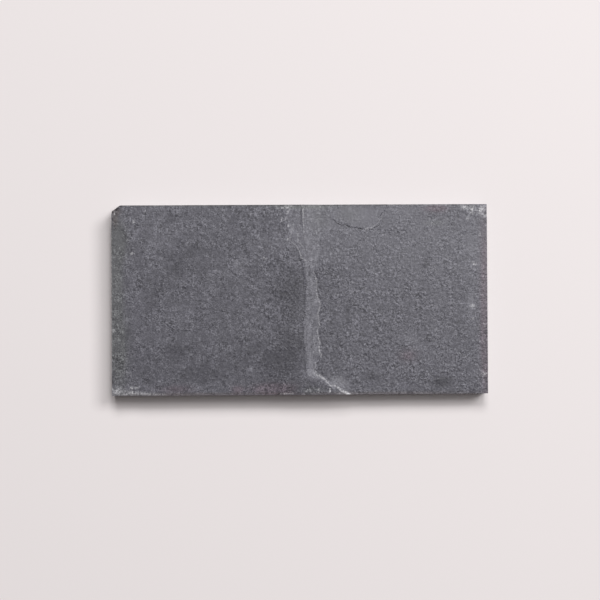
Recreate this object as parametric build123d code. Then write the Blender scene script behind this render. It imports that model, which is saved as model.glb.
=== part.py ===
from build123d import *
import os
from math import ceil, cos, pi, radians, sin

# Natural-cleft slate slab, a small paver or wall tile, cut from one piece of stone.
# Its four sides are sawn square and its back is ground flat. Its face is left as the rock split: two
# cleavage levels with a broken ramp between them that runs right across the slab, a step along part of
# the upper level's broken edge, thin leaves that still lie on the upper level, a thicker flake on the
# lower one, and small chips where the saw and handling broke the edges.
# Millimetres. X runs along the slab, Y across it and Z up from the ground back, with the origin at the
# middle of the back.

# Sawn block
slab_length = 152.4
slab_width = 77.0

# Heights of the split face
lower_level = 8.95
level_rise = 0.60
lip_rise = 0.38
lip_run = 17.0

# Gentle swell of the cleavage: height, wavelength, heading and phase in degrees
swells = [
    (0.10, 118.0, 14.0, 40.0),
    (0.06, 67.0, 103.0, 200.0),
    (0.035, 41.0, 58.0, 310.0),
]
swell_step = 6.5

# Broken ramp between the levels: how far its line lies from the left sawn end, and the low riser at its
# foot. Each station is a share of the width from the middle, then the crest's and the foot's place
# across that line.
break_station = 76.2
foot_riser = 0.17
break_stations = [
    (-0.500, 18.5, 20.0),
    (-0.486, 16.5, 17.2),
    (-0.475, 14.8, 15.3),
    (-0.456, 11.3, 13.6),
    (-0.449, 10.8, 12.0),
    (-0.432, 9.5, 10.9),
    (-0.412, 6.0, 8.9),
    (-0.396, 2.9, 6.6),
    (-0.368, 2.7, 5.2),
    (-0.336, 2.8, 6.3),
    (-0.292, 2.8, 8.4),
    (-0.257, 2.5, 7.6),
    (-0.221, 2.2, 7.9),
    (-0.190, 2.0, 7.1),
    (-0.142, 2.0, 7.8),
    (-0.078, 2.3, 7.6),
    (-0.052, 2.4, 8.3),
    (-0.021, 2.6, 8.2),
    (0.000, 2.7, 7.3),
    (0.027, 2.8, 6.7),
    (0.105, 2.7, 6.2),
    (0.132, 2.6, 6.0),
    (0.174, 2.4, 7.8),
    (0.238, 1.6, 8.0),
    (0.312, 1.2, 8.3),
    (0.412, 1.4, 8.7),
    (0.500, 1.7, 8.7),
]

# Step in the upper level beside the ramp's crest: its depth, and its outline as places across the
# break's line and distances in from the back sawn side
step_drop = 0.2
step_outline = [
    (-7.2, 0.0),
    (-6.2, 6.8),
    (-4.2, 9.2),
    (-2.2, 14.1),
    (-0.4, 17.3),
    (0.7, 21.4),
    (3.1, 23.0),
]
step_overlap = 4.0

# Flake that stands on the lower level at the back sawn side: its distance from the left sawn end, its
# thickness, and its outline from there
flake_station = 90.3
flake_thickness = 0.28
flake_outline = [
    (0.0, 0.0),
    (-0.4, 4.0),
    (0.4, 6.9),
    (4.0, 8.5),
    (7.3, 9.1),
    (12.6, 10.2),
    (15.4, 9.6),
    (18.7, 7.4),
    (18.5, 4.9),
    (20.7, 1.7),
    (21.2, 0.0),
]

# Thin leaves of the next layer that still lie on the upper level: their thickness and their outlines,
# as places from the break's line and from the middle of the width
leaf_thickness = 0.09
leaf_outlines = [
    [(-28.8, 13.6), (-27.4, 16.4), (-24.0, 17.0), (-21.2, 15.2), (-20.6, 12.4), (-23.6, 10.2), (-27.4, 10.8)],
    [(-57.6, 4.0), (-55.0, 9.6), (-49.0, 8.8), (-44.0, 6.2), (-39.4, 8.4), (-35.2, 4.6), (-34.4, -3.4),
     (-38.0, -10.2), (-45.2, -12.6), (-53.0, -10.4), (-57.2, -4.0)],
]

# Corner broken off at the back left: its outline at the face, in from the two sawn sides, and how much
# of it is left at the back face
corner_outline = [(0.0, 3.2), (1.0, 2.5), (1.5, 2.3), (1.9, 1.4), (2.5, 0.7), (3.6, 0.0)]
corner_taper = 0.55

# Shell chips on the upper edges: side, share along it from the middle, radius of the shell, bite and
# lean of the shell's centre above the face
FRONT = (0, -1)
BACK = (0, 1)
LEFT = (-1, 0)
RIGHT = (1, 0)
edge_chips = [
    (FRONT, -0.452, 26.0, 0.60, 68.0),
    (FRONT, -0.375, 7.0, 0.22, 50.0),
    (FRONT, -0.178, 11.0, 0.24, 52.0),
    (FRONT, -0.060, 6.0, 0.30, 48.0),
    (FRONT, 0.292, 9.0, 0.20, 55.0),
    (FRONT, 0.455, 5.0, 0.26, 45.0),
    (BACK, -0.310, 8.0, 0.20, 50.0),
    (BACK, -0.052, 5.0, 0.34, 56.0),
    (BACK, -0.028, 4.0, 0.26, 50.0),
    (BACK, 0.392, 6.0, 0.16, 50.0),
    (BACK, 0.446, 9.0, 0.42, 64.0),
    (BACK, 0.482, 6.0, 0.46, 60.0),
    (LEFT, 0.380, 8.0, 0.24, 52.0),
    (LEFT, -0.105, 6.0, 0.18, 48.0),
    (LEFT, -0.430, 9.0, 0.30, 58.0),
    (RIGHT, -0.405, 8.0, 0.30, 52.0),
    (RIGHT, 0.160, 7.0, 0.22, 50.0),
    (RIGHT, 0.462, 6.0, 0.36, 55.0),
]

# Room past the finished stone for the shapes that are trimmed to it
overcut = 4.0

half_length = slab_length / 2
half_width = slab_width / 2
break_x = break_station - half_length
flake_x = flake_station - half_length
crest_level = lower_level + level_rise + lip_rise


def swell(x, y):
    """How far the cleavage swells above its level at a point."""
    height = 0
    for rise, wavelength, heading, phase in swells:
        along = x * cos(radians(heading)) + y * sin(radians(heading))
        height += rise * sin(2 * pi * along / wavelength + radians(phase))
    return height


def lower_face(x, y):
    """Height of the lower cleavage level."""
    return lower_level + swell(x, y)


def upper_face(x, y):
    """Height of the upper cleavage level, which lifts towards the break."""
    share = min(max((x - break_x + lip_run) / lip_run, 0), 1)
    return lower_face(x, y) + level_rise + lip_rise * share**2 * (3 - 2 * share)


def places(reach):
    """Evenly spaced sampling places from one overcut side to the other."""
    spaces = ceil(2 * reach / swell_step)
    return [reach * (2 * i / spaces - 1) for i in range(spaces + 1)]


def stone_below(height_at, offset=0):
    """Solid from under the back up to a cleavage surface, wider all round than the slab."""
    rows = [
        [(x, y, height_at(x, y) + offset) for y in places(half_width + overcut)]
        for x in places(half_length + overcut)
    ]
    surface = Face.make_surface_from_array_of_points(rows)
    depth = crest_level + overcut
    return extrude(surface, amount=depth, dir=(0, 0, -1))


def level_polygon(points, z):
    """Flat polygon face at a height."""
    return Plane.XY.offset(z) * make_face(Polyline(*points, close=True))


def break_polygon(reach, z):
    """Outline of the upper level, with its broken edge at the foot (0), the crest (1) or past it."""
    end = half_width + overcut
    far = -half_length - overcut
    edge = [
        (break_x + foot + reach * (crest - foot), share * slab_width)
        for share, crest, foot in break_stations
    ]
    corners = [(edge[-1][0], end), (far, end), (far, -end), (edge[0][0], -end)]
    return level_polygon(edge + corners, z)


def upper_block():
    """Stone under the upper level, with the low riser and the ramp as its broken edge."""
    foot_level = lower_level + foot_riser
    past_crest = 1.4
    top = foot_level + past_crest * (crest_level - foot_level)
    riser = extrude(break_polygon(0, -overcut), amount=foot_level + overcut)
    ramp = loft([break_polygon(0, foot_level), break_polygon(past_crest, top)], ruled=True)
    return (riser + ramp) & stone_below(upper_face)


def step_cut():
    """What has split away beside the crest, down to the step."""
    back = half_width + overcut
    edge = [(break_x + x, half_width - y) for x, y in step_outline]
    last_x, last_y = edge[-1]
    outline = [
        (edge[0][0], back),
        *edge,
        (last_x + step_overlap, last_y),
        (last_x + step_overlap, back),
    ]
    column = extrude(level_polygon(outline, 0), amount=crest_level + overcut)
    return column - stone_below(upper_face, -step_drop)


def thin_layer(outline, height_at, thickness):
    """Thin layer inside an outline that still lies on a cleavage surface."""
    column = extrude(make_face(outline), amount=crest_level + overcut)
    return column & stone_below(height_at, thickness)


def flake():
    """Thin flake left on the lower level, with a curved broken edge."""
    back = half_width + overcut
    edge = [(flake_x + x, half_width - y) for x, y in flake_outline]
    rest = Polyline(edge[-1], (edge[-1][0], back), (edge[0][0], back), edge[0])
    return thin_layer(Curve() + [Spline(*edge), rest], lower_face, flake_thickness)


def leaf(outline):
    """Thin leaf left on the upper level."""
    edge = [(break_x + x, y) for x, y in outline]
    return thin_layer(Spline(*edge, periodic=True), upper_face, leaf_thickness)


def broken_corner():
    """What is missing at the back left corner, narrower towards the back face."""

    def outline(z):
        share = corner_taper + (1 - corner_taper) * z / crest_level
        edge = [(share * x - half_length, half_width - share * y) for x, y in corner_outline]
        left = -half_length - overcut
        back = half_width + overcut
        around = [(edge[-1][0], back), (left, back), (left, edge[0][1])]
        return level_polygon(edge + around, z)

    return loft([outline(-overcut), outline(crest_level + overcut)], ruled=True)


def foot_x(y):
    """Where the ramp's foot lies at a place across the slab."""
    share = y / slab_width
    for (start, _, foot), (end, _, next_foot) in zip(break_stations, break_stations[1:]):
        if share <= end:
            break
    return break_x + foot + (next_foot - foot) * (share - start) / (end - start)


def face_height(x, y):
    """Height of the split face at a place on the slab's edge."""
    return upper_face(x, y) if x < foot_x(y) else lower_face(x, y)


def edge_chip(side, share, radius, bite, lean):
    """Shell-shaped bite out of an upper edge."""
    out_x, out_y = side
    x = out_x * half_length + abs(out_y) * share * slab_length
    y = out_y * half_width + abs(out_x) * share * slab_width
    away = (radius - bite) * cos(radians(lean))
    up = (radius - bite) * sin(radians(lean))
    return Pos(x + out_x * away, y + out_y * away, face_height(x, y) + up) * Sphere(radius)


def sawn_block():
    """The square-sawn outline, taller than the stone."""
    return Pos(0, 0, crest_level) * Box(slab_length, slab_width, 2 * crest_level)


def slate_slab():
    stone = stone_below(lower_face) + upper_block() - step_cut() + flake()
    for outline in leaf_outlines:
        stone += leaf(outline)
    stone = stone & sawn_block()
    for chip in edge_chips:
        stone -= edge_chip(*chip)
    return stone - broken_corner()


os.makedirs("parts", exist_ok=True)
slab = slate_slab()
slab.label = "slate_slab"
export_step(slab, "parts/slate_slab.step")
print("slate_slab", len(slab.solids()), "solid", round(slab.volume), "mm3")
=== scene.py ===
import math

import bmesh
import bpy
from bmesh.types import BMEdge, BMFace, BMVert
from mathutils import Matrix, Vector, noise
from mathutils.bvhtree import BVHTree


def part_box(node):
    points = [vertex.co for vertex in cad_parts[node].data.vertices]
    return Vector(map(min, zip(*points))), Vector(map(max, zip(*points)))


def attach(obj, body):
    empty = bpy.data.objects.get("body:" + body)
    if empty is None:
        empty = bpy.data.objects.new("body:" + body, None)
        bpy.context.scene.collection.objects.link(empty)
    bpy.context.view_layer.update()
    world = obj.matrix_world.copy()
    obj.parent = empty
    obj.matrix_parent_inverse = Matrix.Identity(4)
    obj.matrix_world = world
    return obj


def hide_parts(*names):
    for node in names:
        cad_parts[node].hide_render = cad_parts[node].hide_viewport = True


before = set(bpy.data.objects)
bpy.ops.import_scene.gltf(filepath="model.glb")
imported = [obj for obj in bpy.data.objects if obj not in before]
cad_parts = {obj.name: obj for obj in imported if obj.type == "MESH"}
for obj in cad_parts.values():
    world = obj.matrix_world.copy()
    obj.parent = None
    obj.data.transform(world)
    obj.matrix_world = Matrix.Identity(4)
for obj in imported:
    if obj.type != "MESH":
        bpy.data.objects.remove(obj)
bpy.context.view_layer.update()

# A natural-cleft slate slab that lies on a pale floor, seen from above. Lengths are in millimetres,
# as places from the middle of the slab: X to the right, Y to the back and Z up from the ground back.
# The finished mesh, the lights and the camera are in metres, and MM turns one to the other.
MM = 0.001
stone_low, stone_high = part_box("slate_slab")
half_length = (stone_high.x - stone_low.x) / 2 / MM
half_width = (stone_high.y - stone_low.y) / 2 / MM
top = stone_high.z / MM


def mix(a, b, share):
    return a + (b - a) * share


def smooth_step(low, high, value):
    """0 below low, 1 above high and an even S between them."""
    share = min(max((value - low) / (high - low), 0), 1)
    return share * share * (3 - 2 * share)


class Line:
    """A line of straight runs across the split face."""

    def __init__(self, points):
        self.runs = list(zip(points, points[1:]))
        xs, ys = zip(*points)
        self.box = min(xs), max(xs), min(ys), max(ys)

    def distance(self, x, y, reach):
        """Distance from a place to the line, and no more than reach."""
        low_x, high_x, low_y, high_y = self.box
        if x < low_x - reach or x > high_x + reach or y < low_y - reach or y > high_y + reach:
            return reach
        nearest = reach
        for (ax, ay), (bx, by) in self.runs:
            if min(ay, by) - reach < y < max(ay, by) + reach:
                run_x, run_y = bx - ax, by - ay
                share = ((x - ax) * run_x + (y - ay) * run_y) / (run_x**2 + run_y**2)
                share = min(max(share, 0), 1)
                nearest = min(nearest, math.hypot(x - ax - share * run_x, y - ay - share * run_y))
        return nearest

    def place(self, y):
        """Where a line that runs front to back crosses a given Y."""
        for (ax, ay), (bx, by) in self.runs:
            if y <= by:
                break
        return mix(ax, bx, min(max((y - ay) / (by - ay), 0), 1))


# Broken ramp, from the front sawn side to the back: place across the slab, then the crest's and the
# foot's place along it. The crest is where it shows, up to 0.9 mm left of the CAD stone's.
BREAK = [
    (-38.5, 18.5, 20.0), (-37.4, 16.5, 17.2), (-36.6, 14.8, 15.3), (-35.1, 11.3, 13.6), (-34.6, 10.8, 12.0),
    (-33.3, 9.5, 10.9), (-31.7, 6.0, 8.9), (-30.5, 2.9, 6.6), (-28.3, 2.7, 5.2), (-25.9, 2.8, 6.3),
    (-22.5, 2.8, 8.4), (-19.8, 2.5, 7.6), (-17.0, 1.9, 7.9), (-14.6, 1.6, 7.1), (-10.9, 1.4, 7.8),
    (-6.0, 2.3, 7.6), (-4.0, 2.4, 8.3), (-1.6, 2.4, 8.2), (0.0, 2.4, 7.3), (2.1, 2.4, 6.7),
    (8.1, 2.2, 6.2), (10.2, 1.7, 6.0), (13.4, 1.5, 7.8), (18.3, 1.6, 8.0), (24.0, 1.2, 8.3),
    (31.7, 1.4, 8.7), (38.5, 1.7, 8.7),
]
CREST = [(crest, y) for y, crest, foot in BREAK]
FOOT = [(foot, y) for y, crest, foot in BREAK]

# Step beside the crest at the back, the broken edge of the flake on the lower level, the thin leaves
# on the upper one, and the hair crack that runs on from the flake
STEP = [(-7.2, 38.5), (-6.2, 31.7), (-4.2, 29.3), (-2.2, 24.4), (-0.4, 21.2), (0.7, 17.1), (3.1, 15.5)]
STEP_OUTLINE = STEP + [(3.1, 38.5)]
FLAKE_BACK = [(14.1, 38.5), (13.7, 34.5)]
FLAKE_FRONT = [(14.5, 31.8), (17.7, 30.5), (20.6, 29.8), (23.0, 29.3)]
FLAKE_EDGE = FLAKE_FRONT + [
    (26.7, 28.3), (29.5, 28.9), (32.8, 31.1), (32.6, 33.6), (34.8, 36.8), (35.3, 38.5),
]
FLAKE_OUTLINE = FLAKE_BACK + FLAKE_EDGE
LEAVES = [
    [(-28.8, 13.6), (-27.4, 16.4), (-24.0, 17.0), (-21.2, 15.2), (-20.6, 12.4), (-23.6, 10.2),
     (-27.4, 10.8)],
    [(-57.6, 4.0), (-55.0, 9.6), (-49.0, 8.8), (-44.0, 6.2), (-39.4, 8.4), (-35.2, 4.6), (-34.4, -3.4),
     (-38.0, -10.2), (-45.2, -12.6), (-53.0, -10.4), (-57.2, -4.0)],
]
CRACK = [(23.0, 29.3), (25.5, 28.5), (29.5, 28.2), (32.8, 28.1), (37.7, 27.6), (43.0, 27.6)]

crest_line = Line(CREST)
foot_line = Line(FOOT)
crack_line = Line(CRACK)
break_lines = [crest_line, foot_line, Line(STEP), Line(FLAKE_EDGE), crack_line]
break_lines += [Line(leaf + leaf[:1]) for leaf in LEAVES]

# Lips along the broken edges, raised a little and painted pale, partly as crushed powder and partly as
# painted glint where the edges catch the light: strength, half breadth and line
FOOT_LIP = [
    (5.5, 11.2), (6.2, 9.1), (6.7, 7.7), (6.7, 2.2), (7.3, 0.2), (8.0, -1.3), (8.1, -3.1), (7.0, -5.8),
    (7.5, -7.8), (7.7, -10.5), (6.8, -12.8), (7.2, -14.8), (7.9, -17.7), (7.5, -19.4), (7.8, -21.2),
    (8.5, -22.3), (8.2, -23.2),
]
PALE_LIPS = [
    (0.38, 0.32, Line([(1.3, 37.0), (1.4, 34.5), (1.3, 32.5), (1.7, 29.7)])),
    (0.16, 0.40, Line([(1.7, 29.7), (1.7, 27.2), (2.1, 24.0)])),
    (0.20, 0.34, Line([(-2.6, 31.3), (-4.0, 24.0), (-1.4, 21.6)])),
    (0.36, 0.36, Line([(-1.4, 21.6), (-0.2, 19.9), (0.4, 17.5), (1.3, 16.3), (2.7, 15.8)])),
    (0.18, 0.30, Line([(-2.2, 24.0), (-0.1, 22.8), (1.5, 21.2), (2.3, 19.1)])),
    (0.30, 0.32, Line(FOOT_LIP)),
    (0.22, 0.50, Line([(-1.0, 27.0), (-0.7, 24.8), (-1.0, 23.2)])),
    (0.16, 0.28, Line([(5.3, -15.4), (5.3, -16.8), (5.8, -18.6), (6.6, -19.0)])),
    (0.26, 0.36, Line([(6.2, -25.5), (6.0, -27.2), (5.4, -28.3), (6.6, -29.8), (7.8, -31.0)])),
    (0.50, 0.46, Line([(6.6, -30.5), (7.8, -31.0), (9.0, -31.8), (10.2, -32.8), (11.0, -33.6)])),
    (0.44, 0.36, Line([(11.0, -33.6), (11.6, -34.6), (12.3, -34.9), (13.9, -35.0), (15.1, -35.7)])),
    (0.70, 0.44, Line([(15.1, -35.7), (15.9, -36.5), (16.7, -37.1)])),
    (1.00, 0.50, Line([(16.7, -37.1), (17.9, -37.6), (19.0, -38.1), (19.8, -38.5)])),
    (0.20, 0.32, Line([(29.5, 29.3), (31.6, 30.7), (33.2, 32.8), (34.0, 35.2)])),
    (0.34, 0.34, Line([(26.6, 28.5), (29.5, 29.1)])),
    (0.25, 0.50, Line([(-76.2, -37.9), (-71.0, -38.1), (-63.0, -38.0), (-55.0, -38.2)])),
    (0.35, 0.40, Line([(-8.0, -38.1), (-3.4, -38.1)])),
]

# Grooves beside them, cut into the face and darkened with painted shade: strength, half breadth and line
FOOT_GROOVE = [(x + 0.6, y) for x, y in FOOT_LIP]
GROOVES = [
    (0.9, 0.5, Line([(0.3, 37.0), (0.4, 34.0), (0.2, 31.5), (0.6, 29.6)])),
    (0.7, 0.5, Line([(-1.4, 20.2), (-0.8, 18.8), (-0.4, 16.6), (0.5, 14.8), (0.8, 12.0)])),
    (0.6, 0.6, Line([
        (0.8, 12.0), (1.5, 4.4), (1.5, -2.0), (1.0, -7.0), (0.7, -14.0), (1.3, -20.0), (1.8, -29.0),
    ])),
    (0.5, 0.4, Line(FOOT_GROOVE)),
    (0.6, 0.45, Line([(7.2, -28.6), (8.6, -30.2), (10.2, -31.4), (11.4, -32.4)])),
    (1.0, 0.50, Line([(11.0, -34.9), (11.6, -35.8), (12.2, -36.6)])),
    (0.9, 0.45, Line([(14.2, -35.9), (15.0, -36.7), (16.4, -37.7)])),
    (0.7, 0.34, Line(FLAKE_FRONT[:3])),
    (0.6, 0.26, crack_line),
    (0.4, 0.4, Line([(35.6, 37.4), (33.8, 33.8), (33.8, 31.6)])),
]

# Patches where the stone is darker or lighter: middle, half length, half breadth, turn in degrees and
# strength, with darker stone below zero. Most are the stone's own tone; the pale strips along the front and
# left rims are a painted highlight, and the broad darker lower left and paler upper right are partly
# painted sheen.
PATCHES = [
    (57.4, -33.8, 5.4, 2.3, 0, -1.3),
    (57.6, -33.6, 2.4, 1.4, 0, -0.8),
    (29.3, -31.4, 3.2, 2.0, 0, -1.0),
    (41.5, -32.8, 3.0, 1.0, 0, -0.5),
    (51.2, 15.0, 3.6, 1.4, 65, -1.1),
    (19.4, -3.8, 3.6, 1.1, 85, -1.1),
    (42.0, 1.8, 1.8, 0.9, 40, -0.6),
    (59.5, 21.0, 2.2, 1.1, -50, -0.4),
    (64.3, -9.6, 2.2, 1.1, 20, -0.9),
    (14.4, -16.8, 7.5, 3.6, 95, -0.35),
    (32.0, 19.2, 1.8, 0.9, 20, -0.5),
    (10.8, 11.8, 2.2, 1.2, 0, -0.4),
    (-45.9, 15.5, 9.5, 7.0, 20, -0.45),
    (-50.5, 13.0, 4.4, 1.6, 50, -0.5),
    (-38.0, 19.5, 4.0, 1.4, -10, -0.4),
    (-19.5, 12.0, 7.0, 1.3, 58, -0.5),
    (-33.0, 0.0, 7.0, 3.2, 85, -0.3),
    (-51.6, -0.3, 2.6, 1.8, 20, -0.45),
    (-59.5, 3.6, 7.0, 2.8, 80, -0.35),
    (-4.5, 4.0, 8.0, 5.4, 95, -0.85),
    (-10.5, 2.5, 3.0, 2.2, 0, -0.4),
    (-3.3, -19.5, 13.0, 4.4, 92, -0.85),
    (0.3, -17.5, 4.5, 1.5, 90, -0.4),
    (-1.5, -24.0, 5.0, 4.0, 90, 0.3),
    (-1.2, 2.5, 6.0, 2.4, 90, -0.5),
    (-11.0, -25.5, 4.4, 3.4, 0, -0.6),
    (-20.5, -20.0, 5.0, 2.2, 20, -0.45),
    (-50.4, -20.5, 4.6, 3.8, 60, -0.45),
    (-69.9, -14.4, 2.6, 1.6, 0, -0.7),
    (-64.0, -30.5, 4.4, 2.2, -20, -0.45),
    (-40.0, -31.0, 12.0, 3.2, 4, -0.5),
    (-14.0, -34.0, 12.0, 2.6, 0, -0.4),
    (-24.9, 13.5, 4.0, 3.0, 20, 0.5),
    (-54.4, 25.0, 8.0, 5.0, 10, 0.35),
    (-11.4, 21.6, 6.5, 5.0, 0, 0.35),
    (-34.9, -20.0, 4.2, 3.0, 0, 0.35),
    (-46.5, -25.8, 3.2, 1.3, 15, 0.5),
    (-19.4, -27.6, 2.8, 0.9, 60, 0.7),
    (-11.6, -29.4, 2.0, 1.8, 0, 0.5),
    (-0.8, -10.5, 3.0, 1.6, 80, 0.6),
    (69.4, -2.4, 6.0, 1.6, 85, 0.8),
    (69.6, 20.0, 9.0, 3.2, 85, 0.35),
    (45.5, -17.2, 4.0, 2.5, 130, 0.45),
    (16.2, -33.2, 4.2, 1.9, -20, 0.75),
    (11.3, 30.5, 6.5, 3.2, 90, 0.35),
    (11.5, 17.5, 4.2, 2.6, 0, 0.4),
    (40.0, 34.5, 6.0, 3.2, 0, 0.3),
    (73.5, -29.5, 3.0, 1.5, 0, 0.5),
    (-56.0, 34.0, 3.0, 1.6, 80, 0.4),
    (-3.6, 27.4, 2.2, 1.2, 110, 0.6),
    (0.0, 38.4, 76.0, 0.4, 0, -0.7),
    (-46.0, 38.3, 30.0, 0.5, 0, -0.8),
    # Painted highlight on the worn front rim, which turns away from the light
    (0.0, -38.3, 90.0, 0.45, 0, 0.5),
    # Painted highlight on the worn left rim, which leans away from the light
    (-76.1, -2.0, 38.0, 0.5, 90, 0.7),
    (-73.6, 4.0, 34.0, 3.0, 90, 0.15),
    (75.9, -19.0, 12.0, 0.6, 90, -0.7),
    (8.0, 36.8, 16.0, 1.5, 0, 0.4),
    (46.0, 36.8, 22.0, 1.5, 0, 0.3),
    (-74.7, 36.8, 3.0, 0.5, 42, -1.0),
    # Partly painted sheen: darker towards the front left, where the sheen fades
    (-36.0, -25.0, 36.0, 10.0, 0, -0.46),
    (-25.2, -36.0, 2.4, 1.6, 0, 0.8),
    (-64.0, -37.6, 11.0, 1.2, 0, 0.3),
    (-46.0, 36.5, 26.0, 1.6, 0, 0.2),
    (73.5, 4.0, 26.0, 2.5, 90, 0.2),
    # Partly painted sheen: the whole left half a little darker
    (-40.0, 5.0, 40.0, 30.0, 0, -0.12),
    (-6.0, -14.0, 22.0, 8.0, 90, -0.22),
    (0.0, -36.0, 7.0, 2.6, 0, -0.75),
    (3.4, -33.5, 2.8, 0.9, 0, -0.7),
    (3.4, -15.5, 5.0, 1.3, 90, 0.5),
    (3.6, -35.2, 2.6, 1.0, 0, -0.4),
    (-9.0, -24.0, 9.0, 9.0, 0, -0.25),
    (4.2, -27.5, 4.4, 1.8, 90, 1.2),
    (-10.0, -35.5, 8.0, 1.6, 0, 0.65),
    (-74.2, 34.8, 1.0, 0.9, 0, -0.7),
    (24.5, 34.5, 9.0, 4.0, 0, 0.25),
    (75.2, 0.0, 38.0, 1.8, 90, 0.3),
    # Partly painted sheen: paler towards the back right, where the sheen is brightest
    (52.0, 24.0, 28.0, 15.0, 0, 0.32),
    (20.0, 30.0, 12.0, 10.0, 0, 0.3),
    (10.0, -4.0, 20.0, 5.0, 90, -0.12),
    (-2.0, 28.0, 9.0, 6.0, 90, 0.3),
    (14.5, -34.5, 5.0, 2.4, -20, 0.7),
    (21.8, -34.0, 3.0, 2.0, 0, -0.4),
]

# Stains: middle, half length, half breadth, turn and strength, with iron's mauve above zero and an olive
# film below
STAINS = [
    (75.2, -4.0, 34.0, 1.7, 90, 1.6),
    (75.4, -19.0, 9.0, 1.7, 90, 0.8),
    (-10.0, -36.2, 8.5, 2.1, 0, 2.2),
    (-25.6, -36.3, 2.4, 1.5, 0, 1.3),
    (43.6, -23.0, 3.4, 2.4, 0, 1.0),
    (55.7, 37.0, 4.0, 1.5, 0, 1.8),
    (-50.3, -36.0, 6.0, 1.6, 0, 1.0),
    (-73.4, 24.0, 7.0, 3.4, 90, -1.6),
    (-74.4, 6.0, 16.0, 2.6, 90, -1.3),
    (-73.6, -20.0, 15.0, 3.4, 90, -1.5),
    (3.5, -36.6, 6.0, 1.6, 0, -0.7),
    (15.5, -33.0, 5.0, 2.6, -25, -0.2),
    (1.0, 38.0, 10.0, 1.0, 0, -1.8),
    (0.0, 38.5, 76.0, 0.5, 0, -0.8),
    (8.0, 33.0, 5.0, 4.0, 90, -0.35),
    (20.0, 34.5, 5.0, 3.4, 0, -0.35),
    (55.5, 31.0, 4.0, 1.2, 0, -0.5),
]

# Rust: middle, half length, half breadth, turn and strength
RUSTS = [
    (-74.3, 35.7, 2.2, 1.5, 40, 1.2),
    (-74.7, 32.4, 2.6, 1.3, 90, 1.0),
    (-47.0, -38.1, 30.0, 0.6, 0, 0.9),
    (30.0, -38.1, 46.0, 0.6, 0, 0.8),
]

# Where the stone is grittier, or calmer below zero: middle, half length, half breadth, turn and strength
GRITS = [
    (24.5, 34.5, 9.5, 4.4, 0, -0.6),
    (-5.0, -6.0, 28.0, 8.0, 90, 0.5),
    (0.0, -35.5, 12.0, 3.0, 0, 0.3),
    (-73.5, 24.0, 8.0, 3.0, 90, -0.3),
    (-73.5, -27.0, 9.0, 3.0, 90, 0.4),
    (74.5, -10.0, 26.0, 2.5, 90, 0.4),
    (54.0, -30.0, 18.0, 7.0, 0, 0.2),
]

# Crushed white specks and bruises: middle, half length, half breadth, turn and strength
BRUISES = [
    (67.4, 37.2, 1.6, 0.8, -10, 0.8),
    (70.2, 36.2, 1.5, 1.0, 70, 1.0),
    (74.2, 36.4, 2.0, 1.1, 40, 1.0),
    (75.2, 34.0, 1.4, 0.9, 0, 0.5),
    (68.6, 32.8, 0.9, 0.6, 30, 0.4),
    (-74.2, -36.6, 3.0, 1.5, 0, 0.62),
    (-68.0, -37.5, 6.6, 0.85, 0, 0.72),
    (-68.3, -35.3, 0.7, 0.5, 0, 1.0),
    (-66.2, -35.2, 0.8, 0.5, 0, 0.8),
    (-68.2, -37.4, 0.6, 0.8, 0, 1.0),
    (2.4, 37.4, 0.7, 0.6, 0, 0.35),
    (-6.8, 37.3, 0.6, 0.5, 0, 0.8),
    (-5.2, 37.5, 0.7, 0.6, 0, 1.1),
    (-8.6, 37.2, 0.6, 0.4, 0, 0.6),
    (-3.6, 37.9, 0.8, 0.4, 0, 0.6),
    (-7.2, 32.6, 0.9, 0.25, 58, 0.8),
    (-5.6, 33.0, 0.9, 0.25, 58, 0.8),
    (-4.6, 35.8, 1.1, 0.35, 60, 0.6),
    (-4.6, 29.9, 0.8, 0.5, 10, 0.6),
    (-2.9, 28.4, 1.0, 0.6, 10, 0.4),
    (-4.8, 24.6, 0.8, 0.5, 90, 0.5),
    (-67.0, 32.1, 0.7, 0.4, 60, 1.3),
    (-62.7, 36.0, 0.4, 0.5, 0, 0.8),
    (-67.7, 19.1, 0.8, 0.45, 20, 1.0),
    (-69.6, 24.6, 0.5, 0.4, 0, 0.5),
    (-14.3, 17.0, 0.6, 0.5, 0, 0.8),
    (71.0, 14.3, 0.9, 0.4, -20, 1.3),
    (73.4, 26.2, 0.5, 0.5, 0, 0.5),
    (70.1, -2.8, 0.9, 0.6, 0, 1.0),
    (70.4, -8.0, 0.6, 0.6, 0, 0.6),
    (74.6, -30.5, 1.1, 0.4, 0, 0.9),
    (74.6, -18.0, 0.5, 0.5, 0, 0.6),
    (75.0, -10.0, 0.5, 0.5, 0, 0.5),
    (-75.6, -12.0, 0.5, 0.9, 0, 0.7),
    (-74.7, 35.2, 0.35, 0.5, 0, 0.9),
    (11.9, -36.9, 0.35, 1.1, 0, 0.8),
    (2.6, -36.8, 0.3, 0.9, -20, 0.45),
    (3.9, -36.6, 0.3, 0.9, 15, 0.45),
    (7.2, -36.4, 0.4, 1.0, 20, 0.6),
    (15.6, -38.1, 1.0, 0.35, 0, 0.5),
]


# A soft patch is left out past this many times its longer half. A narrow line is at its full strength
# up to the first of these shares of its half breadth, and ends at the second.
PATCH_REACH = 2.2
LINE_FULL = 0.2
LINE_END = 1.5


def inside(outline, x, y):
    """Whether a place lies inside a closed outline."""
    within = False
    for (ax, ay), (bx, by) in zip(outline, outline[1:] + outline[:1]):
        if (ay > y) != (by > y) and x < ax + (y - ay) * (bx - ax) / (by - ay):
            within = not within
    return within


def inset(x, y):
    """Distance in from the nearest sawn side."""
    return min(half_length - abs(x), half_width - abs(y))


def along_and_across(x, y, turn):
    """Distances along and across a direction, which is turned by some degrees from X."""
    c, s = math.cos(math.radians(turn)), math.sin(math.radians(turn))
    return x * c + y * s, y * c - x * s


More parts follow.
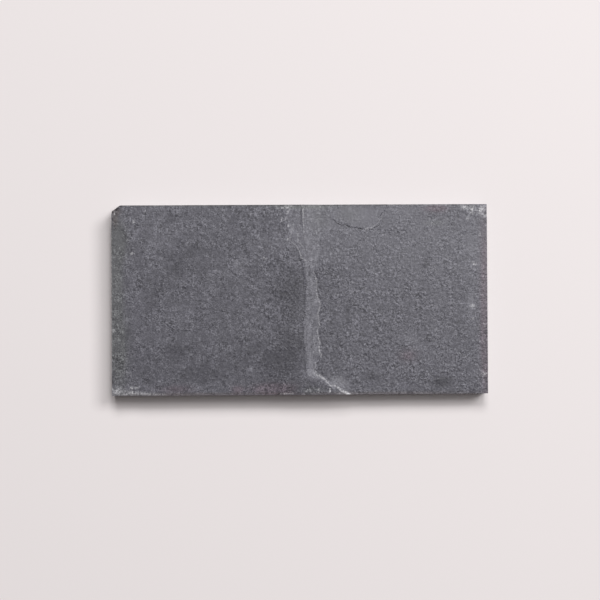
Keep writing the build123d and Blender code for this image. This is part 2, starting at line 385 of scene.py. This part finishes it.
def weight(patches, x, y):
    """How much of some oval patches with soft rims lies at a place."""
    total = 0
    for middle_x, middle_y, length, breadth, turn, strength in patches:
        dx, dy = x - middle_x, y - middle_y
        reach = PATCH_REACH * max(length, breadth)
        if abs(dx) < reach and abs(dy) < reach:
            along, across = along_and_across(dx, dy, turn)
            total += strength * math.exp(-((along / length) ** 2 + (across / breadth) ** 2))
    return total


def along_lines(lines, x, y):
    """How much of the strongest of some narrow lines lies at a place."""
    most = 0
    for strength, breadth, line in lines:
        near = line.distance(x, y, LINE_END * breadth)
        most = max(most, strength * (1 - smooth_step(LINE_FULL * breadth, LINE_END * breadth, near)))
    return most


def rough_noise(x, y, z, octaves):
    """Noise from about -1 to 1, whose octaves are each half the size and strength of the one before."""
    return noise.fractal(Vector((x, y, z)), 1.0, 2.0, octaves)


def grain(x, y, size, seed, octaves=3):
    """Even rough noise of about one feature each size millimetres, where each seed gives another."""
    return rough_noise(x / size, y / size, seed, octaves)


def streak(x, y, size, stretch, turn, seed):
    """Rough noise drawn out along a direction."""
    along, across = along_and_across(x, y, turn)
    return rough_noise(along / (size * stretch), across / size, seed, 2)


# The CAD stone's split face, read from above. By a sawn side it is read this far in. Where the corner is
# broken off, the stone below is lower than the face ever is, and the face is read further in.

EDGE_ROOM = 0.03
LOWEST_FACE = 8.0
CORNER_REACH = 5.0
DOWN = Vector((0, 0, -1))
cad_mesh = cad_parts["slate_slab"].data
cad_tree = BVHTree.FromPolygons(
    [v.co / MM for v in cad_mesh.vertices], [tuple(p.vertices) for p in cad_mesh.polygons]
)


def cad_face(x, y):
    """Height and steepness of the CAD stone's face, and beside the broken corner those further in."""
    x = min(max(x, EDGE_ROOM - half_length), half_length - EDGE_ROOM)
    y = min(max(y, EDGE_ROOM - half_width), half_width - EDGE_ROOM)
    for inward in (0, CORNER_REACH):
        place, normal, _, _ = cad_tree.ray_cast(Vector((x + inward, y - inward, 2 * top)), DOWN)
        if place is not None and place.z > LOWEST_FACE:
            break
    return place.z, 1 - abs(normal.z)


# Split face

# What each vertex of the face keeps for the material
MARKS = ("fresh", "grit", "tone_and_painted_light", "stain", "rust", "powder_and_glint")

# Cells of the face's sheet, which are halved this near to a broken edge
CELL = 0.42
HALVED_WITHIN = 1.1

# The broken edges run ragged in waves, each with a size and how far it moves an edge. The first is there
# only by the thin leaves, as X falls from one place to the other, and all of them rise with the distance
# from the sawn sides.
WAVES = [(4.5, 1.3), (1.7, 0.25), (0.6, 0.22)]
LEAF_WAVES = (-14, -20)
WAVES_INSET = (0.2, 2.5)

# Thin terraces: how many layers each way from the middle one, how long and broad they are, how ragged
# their edges run, and the part of a layer that its edge takes up
TERRACES = 3.2
TERRACE_LENGTH = 17.0
TERRACE_BREADTH = 13.0
TERRACE_RAGGED = 0.4
TERRACE_EDGE = (0.35, 0.65)

# Fresh stone: its share on the step and on the flake, half the length over which it starts at the crest,
# and half the length over which it ends at the foot, which grows between these places towards the back
FRESH_STEP = 0.8
FRESH_FLAKE = 0.5
CREST_FADE = 0.35
FOOT_FADE = (0.45, 2.2)
FOOT_FADE_GROWS = (18, 30)

# How much lower than the CAD's the flake lies at its middle and at its ends, and where those are
FLAKE_SUNK = (0.1, 0.2)
FLAKE_MIDDLE = 18
FLAKE_SLOPE = (3.5, 8)

# The CAD face's facets are evened out where they are gentler than this and this far from the ramp, in
# this many rounds
STEEP = 0.0015
RAMP_ROOM = 1.2
EVENING = 40

# Roughness of the split: its least, its calm and gritty patches, their size, and how wide a part of the
# noise lies between them
LEAST_GRIT = 0.2
CALM = 0.65
GRITTY = 1.35
GRIT_PATCH = 4.2
GRIT_BETWEEN = 0.45

# Roughness and terraces on the two levels, how much of the roughness fresh stone lacks, and how wide the
# change at the foot is
UPPER_ROUGH = 0.30
LOWER_ROUGH = 0.50
LOWER_TERRACES = 0.45
FRESH_LACKS = 0.7
FOOT_CHANGE = 0.5

# Heights and depths of the relief, which lies lower than the CAD face as a whole, and the breadth of the
# worn rim
TERRACE_RISE = 0.035
COARSE_GRAIN = 0.10
FINE_GRAIN = 0.08
LOWER_RIBS = 0.04
RAMP_RIBS = 0.03
LIP_RISE = 0.05
GROOVE_DEPTH = 0.08
RIM_WORN = 0.05
RIM_NIBBLED = 0.18
RIM_BREADTH = 0.9
BRUISE_DEPTH = 0.14
SUNK = 0.10

# How much painted shade darkens a groove, and the least room under the top of the CAD box
GROOVE_PAINTED_SHADE = 0.8
ROOM = 0.01


def near_break(v):
    """Whether a vertex lies by a broken edge."""
    return any(line.distance(v.co.x, v.co.y, HALVED_WITHIN) < HALVED_WITHIN for line in break_lines)


def stone_sheet(bm):
    """Flat grid from sawn edge to sawn edge, with its cells halved along every broken edge."""
    columns, rows = round(2 * half_length / CELL), round(2 * half_width / CELL)
    bmesh.ops.create_grid(bm, x_segments=columns, y_segments=rows, size=1)
    bmesh.ops.scale(bm, vec=(half_length, half_width, 1), verts=bm.verts)
    near = {v for v in bm.verts if near_break(v)}
    edges = [edge for edge in bm.edges if edge.verts[0] in near and edge.verts[1] in near]
    bmesh.ops.subdivide_edges(bm, edges=edges, cuts=1, use_grid_fill=True)


def wobble(x, y):
    """The place of the CAD face that shows at a place of the mesh, so that broken edges run ragged."""
    amount = smooth_step(*WAVES_INSET, inset(x, y))
    by_leaves = smooth_step(*LEAF_WAVES, x)
    dx = dy = 0
    for (size, reach), share in zip(WAVES, (by_leaves, 1, 1)):
        dx += share * reach * amount * noise.noise(Vector((x / size, y / size, 3.1 + size)))
        dy += share * reach * amount * noise.noise(Vector((x / size, y / size, 5.7 + size)))
    return x + dx, y + dy


def terraces(x, y):
    """Thin cleavage layers that end in irregular low edges, one layer each whole number."""
    level = TERRACES * rough_noise(x / TERRACE_LENGTH, y / TERRACE_BREADTH, 6.3, 4)
    level += TERRACE_RAGGED * grain(x, y, size=2.2, seed=4.4)
    step = math.floor(level)
    return step + smooth_step(*TERRACE_EDGE, level - step)


def follow_cad(bm, fresh):
    """Lifts the sheet to the CAD face and evens out that face's facets away from the broken edges."""
    gentle = []
    for v in bm.verts:
        px, py = wobble(v.co.x, v.co.y)
        level, steepness = cad_face(px, py)
        crest, foot = crest_line.place(py), foot_line.place(py)
        faded = mix(*FOOT_FADE, smooth_step(*FOOT_FADE_GROWS, py))
        on_ramp = smooth_step(-CREST_FADE, CREST_FADE, px - crest)
        on_ramp *= 1 - smooth_step(-faded, faded, px - foot)
        on_step = FRESH_STEP if px < crest and inside(STEP_OUTLINE, px, py) else 0
        on_flake = FRESH_FLAKE if inside(FLAKE_OUTLINE, px, py) else 0
        sunk = mix(*FLAKE_SUNK, smooth_step(*FLAKE_SLOPE, abs(px - FLAKE_MIDDLE)))
        v.co.z = level - sunk if on_flake else level
        v[fresh] = max(on_ramp, on_step, on_flake)
        near_ramp = crest - RAMP_ROOM < px < foot + RAMP_ROOM
        if not (near_ramp or steepness > STEEP or near_break(v) or v.is_boundary):
            gentle.append(v)
    for _ in range(EVENING):
        bmesh.ops.smooth_vert(
            bm, verts=gentle, factor=0.5, use_axis_x=False, use_axis_y=False, use_axis_z=True
        )


def roughness_here(x, y):
    """How rough the split is at a place, since calm and gritty patches lie side by side."""
    gritty = smooth_step(-GRIT_BETWEEN, GRIT_BETWEEN, grain(x, y, size=GRIT_PATCH, seed=41.0))
    return max(LEAST_GRIT, mix(CALM, GRITTY, gritty) + weight(GRITS, x, y))


def relief(x, y, fresh, grit, bruise, lip, groove):
    """How far the stone's own roughness rises above the CAD face at a place, mostly below zero."""
    lower = smooth_step(-FOOT_CHANGE, FOOT_CHANGE, x - foot_line.place(y))
    rough = grit * (1 - FRESH_LACKS * fresh) * mix(UPPER_ROUGH, LOWER_ROUGH, lower)
    grains = COARSE_GRAIN * grain(x, y, size=1.7, seed=1.0)
    grains += FINE_GRAIN * grain(x, y, size=0.85, seed=2.0, octaves=2)
    height = TERRACE_RISE * terraces(x, y) * (1 - fresh) * mix(1, LOWER_TERRACES, lower)
    height += rough * grains
    height += LOWER_RIBS * lower * rough * streak(x, y, size=0.8, stretch=4, turn=-35, seed=7.0)
    height += RAMP_RIBS * fresh * streak(x, y, size=0.7, stretch=6, turn=92, seed=9.0)
    height += LIP_RISE * min(1, 2 * lip) - GROOVE_DEPTH * groove
    worn = 1 - smooth_step(0, RIM_BREADTH, inset(x, y))
    height -= worn * (RIM_WORN + RIM_NIBBLED * max(0, grain(x, y, size=2.5, seed=12.0)))
    crumbled = 0.5 + 0.7 * grain(x, y, size=0.7, seed=15.0)
    height -= BRUISE_DEPTH * bruise * crumbled
    return height - SUNK


def rough_face(bm, marks, fresh):
    """Gives the face its own roughness, and notes there its tone with painted light and shade, its stains,
    and its powder with painted glint.
    """
    gritty, tone_and_painted_light, stain, rust, powder_and_glint = marks
    for v in bm.verts:
        x, y = v.co.x, v.co.y
        grit = roughness_here(x, y)
        bruise = min(1, weight(BRUISES, x, y))
        ragged = 0.8 + 0.6 * grain(x, y, size=0.9, seed=21.0, octaves=2)
        crumbs = 0.55 + 1.3 * grain(x, y, size=0.55, seed=23.0, octaves=1)
        lip = along_lines(PALE_LIPS, x, y) * ragged
        groove = along_lines(GROOVES, x, y) * ragged
        v.co.z = min(v.co.z + relief(x, y, v[fresh], grit, bruise, lip, groove), top - ROOM)
        v[gritty] = grit
        # Bruises are crushed powder; the lips are pale powder with painted glint
        v[powder_and_glint] = max(bruise * crumbs, lip)
        # Painted shade darkens the grooves, on top of the patches' tone and painted light
        v[tone_and_painted_light] = weight(PATCHES, x, y) - GROOVE_PAINTED_SHADE * groove
        v[stain] = weight(STAINS, x, y)
        v[rust] = weight(RUSTS, x, y)


# Sawn sides, ground back and broken corner

# Rows of faces in a sawn side, and how near to a side's plane a vertex has to be to lie on it
SIDE_ROWS = 8
TOUCH = 1e-4

# Places of the materials in the stone's list, where the split face's is the first
SAWN, GROUND, BROKEN = 1, 2, 3

# Lower arris: its height, how much higher its chips reach, their size, where in the noise they start, and
# how far it leans in for each millimetre of height
ARRIS = 0.10
CHIP_HEIGHT = 0.5
CHIP_SIZE = 2.1
CHIP_START = 0.1
ARRIS_LEAN = 0.8

# How far a sawn side is cut in as a whole, and the depth of its ledges and saw marks with their size
# along the side and up it
SIDE_SUNK = 0.04
LEDGE_DEPTH = 0.035
LEDGE_LENGTH = 22
LEDGE_HEIGHT = 0.9
MARK_DEPTH = 0.02
MARK_BREADTH = 1.3
MARK_HEIGHT = 12


def only(items, kind):
    """Those items of what an operator made that are of one kind."""
    return [item for item in items if isinstance(item, kind)]


def inward(place):
    """Direction in from the sawn sides that a place lies on."""
    x = -math.copysign(1, place.x) if half_length - abs(place.x) < TOUCH else 0
    y = -math.copysign(1, place.y) if half_width - abs(place.y) < TOUCH else 0
    return Vector((x, y, 0))


def nibble(place):
    """Height of the lower arris with its small chips."""
    chips = grain(place.x, place.y, size=CHIP_SIZE, seed=31.0)
    return ARRIS + CHIP_HEIGHT * max(0, chips - CHIP_START)


def drop_rim(bm, new_place):
    """Extrudes the open rim into a band of faces, with each new point where new_place puts it."""
    rim = [edge for edge in bm.edges if edge.is_boundary]
    made = bmesh.ops.extrude_edge_only(bm, edges=rim)["geom"]
    for v in only(made, BMVert):
        v.co = new_place(v.co)
    return only(made, BMFace)


def side_relief(place):
    """How far a sawn side is cut in: thin ledges of the cleavage and the saw's faint upright marks."""
    along = place.x if half_width - abs(place.y) < TOUCH else place.y
    ledges = rough_noise(along / LEDGE_LENGTH, 9.1, place.z / LEDGE_HEIGHT, 3)
    marks = rough_noise(along / MARK_BREADTH, 4.2, place.z / MARK_HEIGHT, 2)
    return SIDE_SUNK + LEDGE_DEPTH * ledges + MARK_DEPTH * marks


def close_stone(bm):
    """Closes the sheet with its sawn sides, the chipped lower arris and the ground back."""
    sides = drop_rim(bm, lambda place: Vector((place.x, place.y, nibble(place))))
    side_faces = set(sides)
    uprights = dict.fromkeys(edge for face in sides for edge in face.edges if not edge.is_boundary)
    uprights = [edge for edge in uprights if side_faces.issuperset(edge.link_faces)]
    arris = drop_rim(bm, lambda place: place * Vector((1, 1, 0)) + ARRIS_LEAN * place.z * inward(place))
    for face in sides + arris:
        face.material_index = SAWN
    rim = [edge for edge in bm.edges if edge.is_boundary]
    for face in bmesh.ops.contextual_create(bm, geom=rim)["faces"]:
        face.material_index = GROUND
    made = bmesh.ops.subdivide_edges(bm, edges=uprights, cuts=SIDE_ROWS - 1, use_grid_fill=True)
    for v in only(made["geom_inner"], BMVert):
        v.co += side_relief(v.co) * inward(v.co)


# Broken corner: its line at the face, in from the left and from the back sawn side, how far it leans out
# for each millimetre down, the size of its facets, and how far past its ends the stone is bent for the cut
CORNER = (3.5, 3.05)
CORNER_LEAN = 0.107
CORNER_FACET = 0.5
CORNER_ROOM = 2.0

# The size and depth of its unevenness, and how far it is cut in as a whole
CORNER_BUMP = 1.2
CORNER_UNEVEN = 0.45
CORNER_SUNK = 0.05


def bend_corner(bm, start, across, out, way):
    """Bends the stone by the break's unevenness, out or back, so that a flat cut ends up uneven."""
    for v in bm.verts:
        along = (v.co - start).dot(across)
        if -CORNER_ROOM < along < math.hypot(*CORNER) + CORNER_ROOM:
            uneven = grain(along, v.co.z, size=CORNER_BUMP, seed=17.0)
            v.co += way * (CORNER_SUNK + CORNER_UNEVEN * uneven) * out


def cut_facets(bm, faces, start, direction, reach):
    """Cuts flat faces into strips along a direction, and gives all that they became."""
    for i in range(1, int(reach / CORNER_FACET)):
        parts = dict.fromkeys(item for face in faces for item in (*face.verts, *face.edges, face))
        level = start + direction * i * CORNER_FACET
        made = bmesh.ops.bisect_plane(bm, geom=list(parts), plane_co=level, plane_no=direction)
        faces = only(made["geom"], BMFace)
    return faces


def break_corner(bm):
    """Breaks off the back left corner in a leaning, uneven face."""
    along_x, along_y = CORNER
    start = Vector((-half_length, half_width - along_y, top))
    across = Vector((along_x, along_y, 0)).normalized()
    out = Vector((-along_y, along_x, 0)).normalized()
    outward = (out + Vector((0, 0, CORNER_LEAN))).normalized()
    bend_corner(bm, start, across, out, 1)
    parts = bm.verts[:] + bm.edges[:] + bm.faces[:]
    cut = bmesh.ops.bisect_plane(bm, geom=parts, plane_co=start, plane_no=outward, clear_outer=True)
    faces = bmesh.ops.contextual_create(bm, geom=only(cut["geom_cut"], BMEdge))["faces"]
    faces = cut_facets(bm, faces, start, outward.cross(across).normalized(), top)
    faces = cut_facets(bm, faces, start, across, math.hypot(*CORNER))
    for face in faces:
        face.material_index = BROKEN
    bend_corner(bm, start, across, out, -1)
    for v in bm.verts:
        v.co.x = max(v.co.x, -half_length)
        v.co.y = min(v.co.y, half_width)


def slate_stone():
    """The whole stone as one closed mesh, in metres."""
    bm = bmesh.new()
    stone_sheet(bm)
    fresh, *marks = [bm.verts.layers.float.new(name) for name in MARKS]
    follow_cad(bm, fresh)
    rough_face(bm, marks, fresh)
    close_stone(bm)
    break_corner(bm)
    bmesh.ops.recalc_face_normals(bm, faces=bm.faces)
    bmesh.ops.transform(bm, matrix=Matrix.Scale(MM, 4), verts=bm.verts)
    mesh = bpy.data.meshes.new("slate_slab_stone")
    bm.to_mesh(mesh)
    bm.free()
    stone = bpy.data.objects.new("slate_slab_stone", mesh)
    bpy.context.scene.collection.objects.link(stone)
    return stone


# Materials

def linear(hex_colour):
    """Linear colour of an sRGB hex value."""
    channels = [int(hex_colour[i:i + 2], 16) / 255 for i in (1, 3, 5)]
    return [c / 12.92 if c <= 0.04045 else ((c + 0.055) / 1.055) ** 2.4 for c in channels] + [1]


def add(tree, kind, *values, settings=None, out=None, **named):
    """Adds a node with its settings, fills or links its sockets by order or name, and gives an output."""
    node = tree.nodes.new("ShaderNode" + kind)
    for name, value in (settings or {}).items():
        setattr(node, name, value)
    inputs = [socket for socket in node.inputs if socket.enabled]
    by_name = {socket.name: socket for socket in inputs}
    filled = list(zip(inputs, values)) + [(by_name[name.replace("_", " ")], named[name]) for name in named]
    for socket, source in filled:
        if isinstance(source, bpy.types.NodeSocket):
            tree.links.new(source, socket)
        else:
            socket.default_value = source
    outputs = {socket.name: socket for socket in node.outputs if socket.enabled}
    return outputs[out] if out else next(iter(outputs.values()), None)


def in_mm(tree, turn=0, stretch=(1, 1, 1)):
    """Place on the stone in millimetres, turned and stretched for drawn-out patterns."""
    place = add(tree, "TexCoord", out="Object")
    turned = add(tree, "Mapping", Vector=place, Rotation=(0, 0, math.radians(turn)))
    return add(tree, "Mapping", Vector=turned, Scale=[1 / MM / s for s in stretch])


def laid_over(tree, under, colour, pattern, low, high, most=1.0, way="MIX"):
    """A colour laid over another where a pattern climbs, or falls, from low to high."""
    share = add(tree, "MapRange", pattern, low, high, 0.0, most)
    return add(tree, "Mix", share, under, linear(colour), settings={"data_type": "RGBA", "blend_type": way})


def finished(name, tree_maker):
    """Material whose nodes a function makes: it gives the values and links of the surface shader."""
    material = bpy.data.materials.new(name)
    material.use_nodes = True
    tree = material.node_tree
    tree.nodes.clear()
    add(tree, "OutputMaterial", Surface=add(tree, "BsdfPrincipled", **tree_maker(tree)))
    return material


def weighed(tree, parts, start=0.5):
    """Adds up patterns about their middle value, each with its weight, from a starting value."""
    total = start
    for pattern, share in parts:
        centred = add(tree, "Math", pattern, 0.5, settings={"operation": "SUBTRACT"})
        total = add(tree, "Math", centred, share, total, settings={"operation": "MULTIPLY_ADD"})
    return total


def cleft_slate(tree):
    """Split slate: dull blue-grey mica-rich stone with a satin sheen, blotched and finely granular."""
    place = in_mm(tree)
    fresh, grit, tone_and_painted_light, stain, rust, powder_and_glint = [
        add(tree, "Attribute", out="Fac", settings={"attribute_name": name}) for name in MARKS
    ]
    clouds = add(tree, "TexNoise", Vector=place, Scale=1 / 9.0, Detail=4.0, Roughness=0.6)
    blotches = add(tree, "TexNoise", Vector=place, Scale=1 / 3.0, Detail=3.0, Roughness=0.6)
    speckle = add(tree, "TexNoise", Vector=place, Scale=1 / 1.1, Detail=4.0, Roughness=0.75)
    flecks = add(tree, "TexNoise", Vector=place, Scale=1 / 0.55, Detail=1.0, Roughness=0.5)
    ribs = add(tree, "TexNoise", Vector=in_mm(tree, 0, (0.7, 4, 1)), Scale=1.0, Detail=4.0, Roughness=0.65)

    # Grains from dark to pale, on the weathered stone and on the fresh stone of the ramp
    grains = weighed(tree, [(blotches, 0.55), (speckle, 1.9), (flecks, 0.8)], 0.0)
    grains = add(tree, "Math", grains, grit, settings={"operation": "MULTIPLY"})
    shade = add(tree, "Math", grains, weighed(tree, [(clouds, 0.25)]))
    weathered = laid_over(tree, linear("#2F2E35"), "#56555D", shade, 0.0, 0.5)
    weathered = laid_over(tree, weathered, "#7F7E87", shade, 0.5, 1.0)
    ribs = weighed(tree, [(ribs, 1.0)])
    shade = add(tree, "Math", grains, 0.7, ribs, settings={"operation": "MULTIPLY_ADD"})
    new = laid_over(tree, linear("#3E3D44"), "#616068", shade, 0.0, 0.5)
    new = laid_over(tree, new, "#87868E", shade, 0.5, 1.0)

    # Darker and paler patches with painted shade and light, iron's mauve, the olive film, rust, and the
    # crushed white powder with painted glint on the lips
    colour = add(tree, "Mix", fresh, weathered, new, settings={"data_type": "RGBA"})
    # The tone mark darkens and lightens the colour: the stone's own tone, with painted shade in the
    # grooves, painted rim highlights and partly painted sheen
    colour = laid_over(tree, colour, "#323138", tone_and_painted_light, 0.0, -1.4, 0.77)
    colour = laid_over(tree, colour, "#8A8991", tone_and_painted_light, 0.0, 1.0, 0.45)
    colour = laid_over(tree, colour, "#FFEEF0", stain, 0.0, 1.0, way="MULTIPLY")
    colour = laid_over(tree, colour, "#FBFFF3", stain, 0.0, -1.0, way="MULTIPLY")
    colour = laid_over(tree, colour, "#FFF5EA", rust, 0.0, 1.0, way="MULTIPLY")
    # Crushed white powder at the bruises, and powder with painted glint on the lips
    crushed_and_glint = add(tree, "MapRange", flecks, 0.35, 0.65, 0.5, 1.3)
    crushed_and_glint = add(tree, "Math", powder_and_glint, crushed_and_glint, settings={"operation": "MULTIPLY"})
    colour = laid_over(tree, colour, "#DCDBDE", crushed_and_glint, 0.04, 1.0, 0.95)

    # Grain that is finer than the mesh
    height = weighed(tree, [(blotches, 0.8), (speckle, 1.0), (flecks, 0.5)])
    height = add(tree, "Math", height, grit, settings={"operation": "MULTIPLY"})
    bump = add(tree, "Bump", Height=height, Distance=0.05 * MM, Strength=0.8)
    satin = add(tree, "MapRange", speckle, 0.3, 0.7, 0.54, 0.42)
    return {"Base Color": colour, "Roughness": satin, "IOR": 1.5, "Normal": bump}


def sawn_slate(tree):
    """Diamond-sawn slate: even matte grey with thin cleavage lines along the edge and faint blade marks."""
    drawn_out = in_mm(tree, 0, (30, 30, 0.35))
    layers = add(tree, "TexNoise", Vector=drawn_out, Scale=1.0, Detail=4.0, Roughness=0.6)
    marks = add(tree, "TexNoise", Vector=in_mm(tree, 0, (0.35, 0.35, 14)), Scale=1.0, Detail=2.0)
    fine = add(tree, "TexNoise", Vector=in_mm(tree), Scale=1 / 0.7, Detail=3.0, Roughness=0.7)
    colour = laid_over(tree, linear("#4E4D52"), "#626166", layers, 0.35, 0.65)
    colour = laid_over(tree, colour, "#737277", marks, 0.5, 0.7, 0.3)
    colour = laid_over(tree, colour, "#414045", fine, 0.5, 0.3, 0.5)
    height = add(tree, "Math", marks, layers)
    height = add(tree, "Math", height, fine)
    bump = add(tree, "Bump", Height=height, Distance=0.06 * MM, Strength=0.8)
    return {"Base Color": colour, "Roughness": 0.7, "IOR": 1.5, "Normal": bump}


def ground_slate(tree):
    """Back ground flat by a wide grinding head: even and paler, with long shallow scratches."""
    drawn_out = in_mm(tree, 4, (60, 0.5, 1))
    scratches = add(tree, "TexNoise", Vector=drawn_out, Scale=1.0, Detail=3.0, Roughness=0.6)
    broad = add(tree, "TexNoise", Vector=in_mm(tree), Scale=1 / 8.0, Detail=3.0, Roughness=0.6)
    fine = add(tree, "TexNoise", Vector=in_mm(tree), Scale=1 / 0.8, Detail=3.0, Roughness=0.7)
    colour = laid_over(tree, linear("#5E5D62"), "#6C6B6F", broad, 0.35, 0.65)
    colour = laid_over(tree, colour, "#838286", scratches, 0.5, 0.72, 0.5)
    colour = laid_over(tree, colour, "#49484D", fine, 0.5, 0.3, 0.4)
    height = add(tree, "Math", fine, 0.4, scratches, settings={"operation": "MULTIPLY_ADD"})
    bump = add(tree, "Bump", Height=height, Distance=0.06 * MM, Strength=0.8)
    return {"Base Color": colour, "Roughness": 0.65, "IOR": 1.5, "Normal": bump}


def broken_slate(tree):
    """Fresh break across the layers: rough, slightly brown and paler than the weathered face."""
    layers = add(tree, "TexNoise", Vector=in_mm(tree, 0, (6, 6, 0.4)), Scale=1.0, Detail=4.0, Roughness=0.6)
    fine = add(tree, "TexNoise", Vector=in_mm(tree), Scale=1 / 0.6, Detail=3.0, Roughness=0.7)
    colour = laid_over(tree, linear("#423E3E"), "#635E5D", layers, 0.35, 0.65)
    height = add(tree, "Math", layers, fine)
    bump = add(tree, "Bump", Height=height, Distance=0.15 * MM, Strength=1.0)
    return {"Base Color": colour, "Roughness": 0.75, "IOR": 1.5, "Normal": bump}


def pale_board(tree):
    """Matt painted board, very pale with a hint of rose."""
    return {"Base Color": linear("#E9E3E3"), "Roughness": 0.9, "Specular IOR Level": 0.1}


stone = slate_stone()
for name, tree_maker in (
    ("cleft_slate", cleft_slate),
    ("sawn_slate", sawn_slate),
    ("ground_slate", ground_slate),
    ("broken_slate", broken_slate),
):
    stone.data.materials.append(finished(name, tree_maker))
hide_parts("slate_slab")
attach(stone, "root")


# Floor, light and camera: the floor and the lights in metres, the camera's place in millimetres and its
# turn in degrees

FLOOR_SIZE = 16.0
STUDIO_LIGHT = 0.058
CAMERA_PLACE = (-11.9, -6.2, 600)
CAMERA_TURN = (0.593, -1.145, -0.334)
CAMERA_LENS = 87.47


def pale_floor():
    """Plain floor under the stone."""
    bm = bmesh.new()
    bmesh.ops.create_grid(bm, x_segments=1, y_segments=1, size=FLOOR_SIZE / 2)
    mesh = bpy.data.meshes.new("floor")
    bm.to_mesh(mesh)
    bm.free()
    floor = bpy.data.objects.new("floor", mesh)
    floor.data.materials.append(finished("pale_painted_board", pale_board))
    bpy.context.scene.collection.objects.link(floor)


def light_panel(name, across, along, height, power):
    """Soft panel of some watts that faces straight down, from one X to another and one Y to another."""
    light = bpy.data.lights.new(name, "AREA")
    light.shape = "RECTANGLE"
    light.size = across[1] - across[0]
    light.size_y = along[1] - along[0]
    light.energy = power
    lamp = bpy.data.objects.new(name, light)
    lamp.location = sum(across) / 2, sum(along) / 2, height
    bpy.context.scene.collection.objects.link(lamp)


pale_floor()
light_panel("back_panel", (-0.91, 0.99), (2.39, 4.55), 4.26, 173.7)
light_panel("right_panel", (0.89, 2.20), (0.57, 1.69), 2.04, 47.5)
light_panel("high_panel", (0.28, 1.18), (-0.25, 2.00), 2.98, 32.2)

world = bpy.data.worlds.new("studio")
world.use_nodes = True
world.node_tree.nodes["Background"].inputs["Color"].default_value = linear("#FFEDEA")
world.node_tree.nodes["Background"].inputs["Strength"].default_value = STUDIO_LIGHT
bpy.context.scene.world = world
bpy.context.scene.view_settings.view_transform = "Standard"

camera = bpy.data.cameras.new("camera")
camera.sensor_width = 36
camera.lens = CAMERA_LENS
camera_object = bpy.data.objects.new("camera", camera)
camera_object.location = [place * MM for place in CAMERA_PLACE]
camera_object.rotation_euler = [math.radians(turn) for turn in CAMERA_TURN]
bpy.context.scene.collection.objects.link(camera_object)
bpy.context.scene.camera = camera_object
